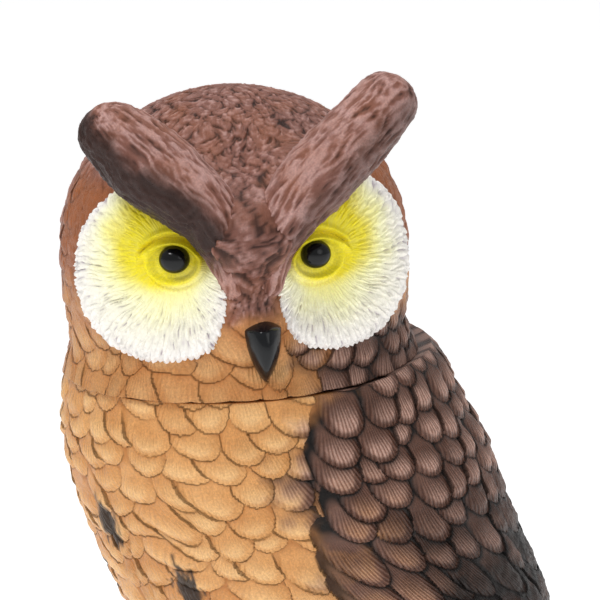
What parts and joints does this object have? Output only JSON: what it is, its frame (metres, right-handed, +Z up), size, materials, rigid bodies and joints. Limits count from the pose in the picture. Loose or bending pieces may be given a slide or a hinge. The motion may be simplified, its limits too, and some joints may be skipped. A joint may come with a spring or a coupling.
{
  "type": "owl figurine",
  "caption": "Hollow moulded owl on a stump, with ear tufts, dished face discs, domed eyes and a hooked beak; its head turns on a spindle in the neck.",
  "frame": {"origin": "middle of the base plate's underside, on the surface the owl stands on", "axes": "+Z up, the owl's breast towards -Y, the owl's left wing towards +X"},
  "size_m": [0.162, 0.2218, 0.3995],
  "materials": {
    "head_paint": "painted brown over moulded feather relief, satin",
    "disc_paint": "painted white with yellow sprayed round the eye, satin",
    "eye_gloss": "polished black",
    "beak_gloss": "gloss black",
    "body_paint": "painted tan breast and brown wings over feather relief, satin",
    "foot_paint": "painted horn yellow",
    "stump_paint": "bark relief, painted brown",
    "bearing_plastic": "natural moulded",
    "washer_plastic": "black moulded",
    "base_plastic": "dark moulded",
    "plug_rubber": "soft black",
    "fixing_steel": "zinc plated"
  },
  "bodies": {
    "figure": {"neck_plate": "bearing_plastic", "neck_spindle": "bearing_plastic", "thrust_washer": "washer_plastic", "spindle_washer": "fixing_steel", "spindle_screw": "fixing_steel", "body_shell": "body_paint", "stump": "stump_paint", "foot_left": "foot_paint", "foot_right": "foot_paint", "base_plate": "base_plastic", "base_screw_1": "fixing_steel", "base_screw_2": "fixing_steel", "base_screw_3": "fixing_steel", "base_screw_4": "fixing_steel", "body_screw_1": "fixing_steel", "body_screw_2": "fixing_steel", "body_screw_3": "fixing_steel"},
    "head": {"head_shell": "head_paint", "face_disc_left": "disc_paint", "face_disc_right": "disc_paint", "eye_left": "eye_gloss", "eye_right": "eye_gloss", "eye_washer_left": "fixing_steel", "eye_washer_right": "fixing_steel", "beak": "beak_gloss", "beak_washer": "fixing_steel", "head_plate": "bearing_plastic"},
    "plug": {"filler_plug": "plug_rubber"}
  },
  "joints": [
    {"name": "head_turn", "type": "hinge", "parent": "figure", "child": "head", "pos_m": [0, -0.042, 0.299], "axis": [0, -0.0785, 0.9969], "continuous": true},
    {"name": "plug_pull", "type": "slide", "parent": "figure", "child": "plug", "axis": [0, 0, -1], "range_m": [0, 0.02]}
  ]
}
